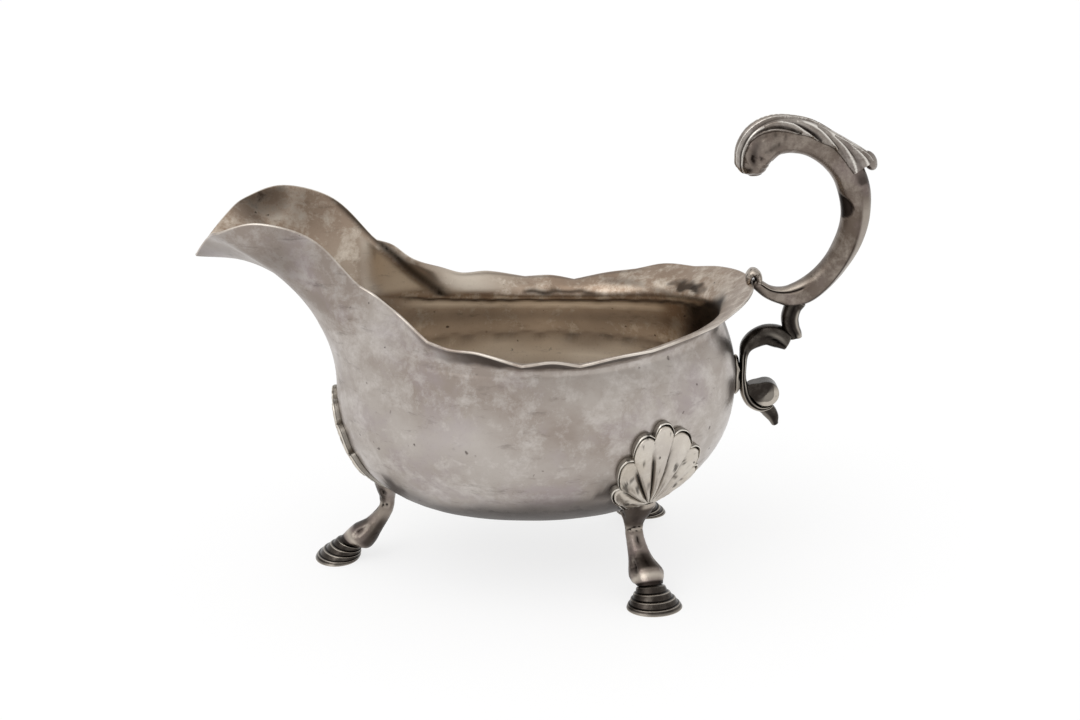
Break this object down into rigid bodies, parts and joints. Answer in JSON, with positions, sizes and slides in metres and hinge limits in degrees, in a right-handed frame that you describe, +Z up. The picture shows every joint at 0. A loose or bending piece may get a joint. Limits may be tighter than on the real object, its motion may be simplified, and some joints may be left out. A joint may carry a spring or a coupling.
{
  "type": "sauce boat",
  "caption": "Silver sauce boat with a long flared spout, a waved everted rim, a flying scroll handle with a leaf cap, and hoof feet under scallop-shell plates.",
  "frame": {"origin": "under the middle of the boat's box, on the floor that the feet stand on", "axes": "+X toward the handle and -X toward the spout, +Y across the boat, +Z up"},
  "size_m": [0.175, 0.084, 0.1217],
  "materials": {
    "outer_silver": "raised sheet silver, mottled grey and mauve tarnish, soft shine",
    "cast_silver": "cast silver, brown tarnish in the hollows and bright edges",
    "worn_silver": "cast silver, pale where it is rubbed, dark grooves",
    "dark_silver": "cast silver, dark tarnish"
  },
  "bodies": {
    "root": {"body_shell": "outer_silver", "front_shell_plate": "worn_silver", "front_leg": "cast_silver", "front_hoof": "dark_silver", "rear_left_shell_plate": "worn_silver", "rear_left_leg": "cast_silver", "rear_left_hoof": "dark_silver", "rear_right_shell_plate": "worn_silver", "rear_right_leg": "cast_silver", "rear_right_hoof": "dark_silver", "handle_main_scroll": "cast_silver", "handle_leaf_cap": "worn_silver", "handle_leaf_tip": "cast_silver", "handle_rim_curl": "worn_silver", "handle_bridge_scroll": "dark_silver", "handle_lower_scroll": "dark_silver", "handle_lower_volute": "dark_silver", "handle_tail": "cast_silver", "handle_wall_pad": "worn_silver"}
  },
  "joints": []
}
